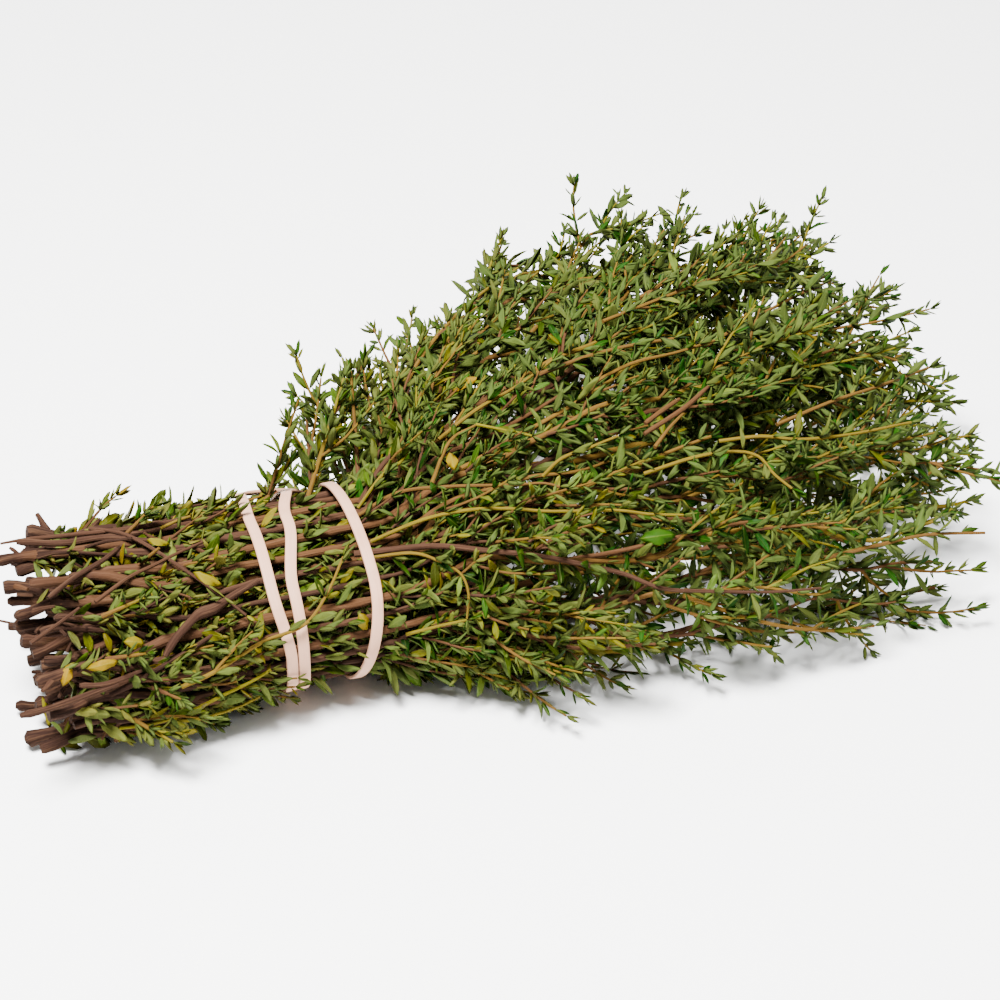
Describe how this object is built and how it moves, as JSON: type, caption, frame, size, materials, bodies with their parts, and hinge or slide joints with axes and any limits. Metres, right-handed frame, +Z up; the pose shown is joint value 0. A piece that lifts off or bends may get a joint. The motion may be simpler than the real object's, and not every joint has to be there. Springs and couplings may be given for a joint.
{
  "type": "thyme bundle",
  "caption": "Bunch of fresh thyme sprigs with small paired leaves, held by one rubber band wound three times, lying on its side.",
  "frame": {"origin": "under the middle of the bunch's box, on the surface that it lies on", "axes": "+X along the bunch, from the cut ends towards the leafy tips; +Z up"},
  "size_m": [0.2828, 0.195, 0.0634],
  "materials": {
    "thyme": "matte, dark green leaves on brown to yellow-green stems",
    "bark": "matte woody brown",
    "young": "soft yellow-green young stem and leaves",
    "rubber": "matte pale pinkish beige"
  },
  "bodies": {
    "root": {"sprig_01": "thyme", "sprig_02": "thyme", "sprig_03": "thyme", "sprig_04": "thyme", "sprig_05": "thyme", "sprig_06": "thyme", "sprig_07": "thyme", "sprig_08": "thyme", "sprig_09": "thyme", "sprig_10": "thyme", "sprig_11": "thyme", "sprig_12": "thyme", "sprig_13": "thyme", "sprig_14": "thyme", "sprig_15": "thyme", "sprig_16": "thyme", "sprig_17": "thyme", "sprig_18": "thyme", "sprig_19": "thyme", "sprig_20": "thyme", "sprig_21": "thyme", "sprig_22": "thyme", "sprig_23": "thyme", "sprig_24": "thyme", "sprig_25": "thyme", "sprig_26": "thyme", "sprig_27": "thyme", "sprig_28": "thyme", "sprig_29": "thyme", "sprig_30": "thyme", "sprig_31": "thyme", "sprig_32": "thyme", "sprig_33": "thyme", "sprig_34": "thyme", "sprig_35": "thyme", "sprig_36": "thyme", "sprig_37": "thyme", "sprig_38": "thyme", "sprig_39": "thyme", "sprig_40": "thyme", "sprig_41": "thyme", "sprig_42": "thyme", "sprig_43": "thyme", "sprig_44": "thyme", "sprig_45": "thyme", "sprig_46": "thyme", "loose_twig": "bark", "young_shoot": "young", "rubber_band": "rubber"}
  },
  "joints": []
}
